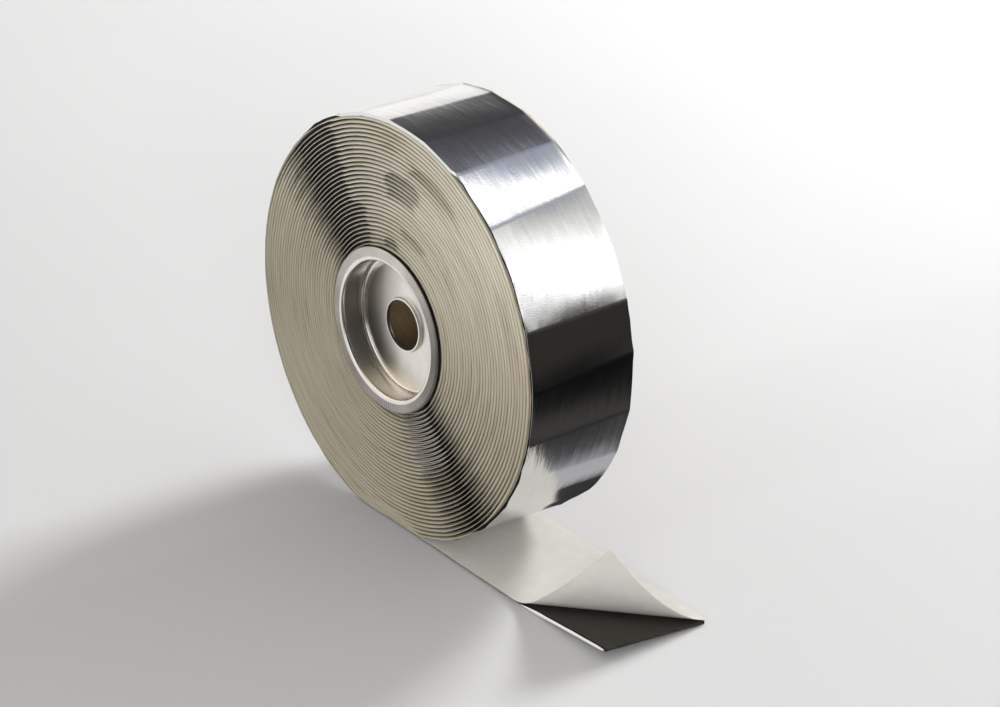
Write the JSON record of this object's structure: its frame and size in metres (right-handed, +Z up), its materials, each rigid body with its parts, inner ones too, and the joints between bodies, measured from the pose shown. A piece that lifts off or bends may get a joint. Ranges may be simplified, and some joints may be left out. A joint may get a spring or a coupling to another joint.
{
  "type": "aluminium foil tape",
  "caption": "Roll of foil-faced sealing tape on a capped board tube, standing on its unrolled tail, with a corner of the liner peeled up",
  "frame": {"origin": "on the roll's axis, midway between the two end caps", "axes": "+X along the loose tail, +Y along the roll's axis away from the shown side, +Z up"},
  "size_m": [0.2929, 0.0736, 0.2255],
  "materials": {
    "core_board": "matt",
    "cap_steel": "satin",
    "foil": "satin",
    "compound": "matt",
    "liner_paper": "satin"
  },
  "bodies": {
    "root": {"core_tube": "core_board", "front_end_cap": "cap_steel", "rear_end_cap": "cap_steel", "foil_facing": "foil", "butyl_compound": "compound", "release_liner": "liner_paper"}
  },
  "joints": []
}
